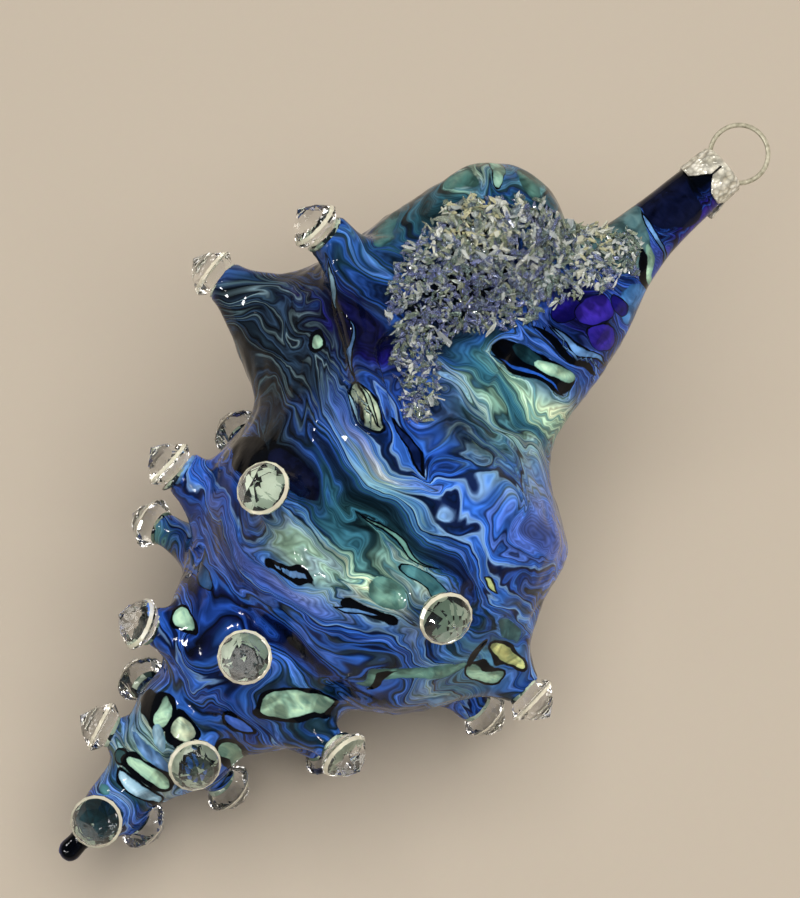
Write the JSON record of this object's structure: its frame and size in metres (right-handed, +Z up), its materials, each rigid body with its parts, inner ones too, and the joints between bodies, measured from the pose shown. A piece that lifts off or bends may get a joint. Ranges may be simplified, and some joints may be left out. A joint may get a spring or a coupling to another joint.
{
  "type": "blown-glass shell ornament",
  "caption": "Hanging ornament shaped like a spiny conch shell: hollow marbled glass with pointed crystals on its spines, crushed glass on the lip and a capped neck with a wire hanger.",
  "frame": {"origin": "middle of the bounding box's base, on the surface that the ornament lies on", "axes": "+X along the shell from the closed spire to the hanger, laid level; +Y towards the flared lip; +Z up, out of the side with the crushed glass"},
  "size_m": [0.1534, 0.0882, 0.0671],
  "materials": {
    "marbled_glass": "glossy, marbled in blues, navy, teal and pale mint, with a thin iridescent lustre",
    "crushed_glass": "loose clear flakes glued in a thick layer, glittering",
    "cut_crystal": "cut and polished, clear",
    "stamped_cap": "thin stamped foil-bright sheet with a crinkled pattern",
    "hanger_wire": "drawn, slightly dull"
  },
  "bodies": {
    "root": {"glass_shell": "marbled_glass", "crushed_glass": "crushed_glass", "ornament_cap": "stamped_cap", "hanger_loop": "hanger_wire", "stone_lip_1": "cut_crystal", "stone_lip_2": "cut_crystal", "stone_lip_3": "cut_crystal", "stone_shoulder_1": "cut_crystal", "stone_shoulder_2": "cut_crystal", "stone_shoulder_3": "cut_crystal", "stone_shoulder_4": "cut_crystal", "stone_shoulder_5": "cut_crystal", "stone_shoulder_6": "cut_crystal", "stone_shoulder_7": "cut_crystal", "stone_shoulder_8": "cut_crystal", "stone_spire_1": "cut_crystal", "stone_spire_2": "cut_crystal", "stone_spire_3": "cut_crystal", "stone_spire_4": "cut_crystal", "stone_tip_1": "cut_crystal", "stone_tip_2": "cut_crystal", "stone_waist_1": "cut_crystal", "stone_waist_2": "cut_crystal", "stone_waist_3": "cut_crystal", "stone_waist_4": "cut_crystal", "stone_waist_5": "cut_crystal"}
  },
  "joints": []
}
